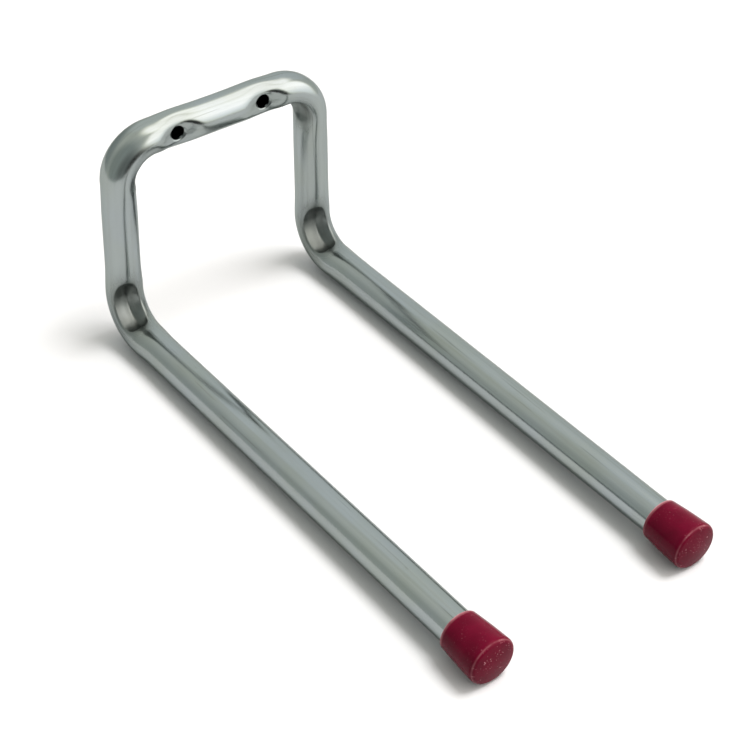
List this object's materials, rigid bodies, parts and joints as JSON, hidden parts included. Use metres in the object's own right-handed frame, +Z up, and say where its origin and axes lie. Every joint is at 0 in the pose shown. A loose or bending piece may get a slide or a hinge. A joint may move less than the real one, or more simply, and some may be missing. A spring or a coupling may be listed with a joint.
{
  "type": "bicycle wall rack",
  "caption": "Bent round-tube rack that screws to a wall by its crossbar and carries a bicycle on long parallel arms with soft push-on end caps.",
  "frame": {"origin": "on the wall plane, midway between the two screw holes of the crossbar", "axes": "+Z up, +Y into the wall, so the arms run out along -Y; +X to the right as seen when facing the wall"},
  "size_m": [0.1578, 0.34, 0.1369],
  "materials": {
    "zinc_plated_steel": "bright zinc plating, satin on the runs and shiny at the pressed bends",
    "red_vinyl": "glossy soft vinyl, moulded"
  },
  "bodies": {
    "root": {"bent_tube": "zinc_plated_steel", "left_end_cap": "red_vinyl", "right_end_cap": "red_vinyl"}
  },
  "joints": []
}
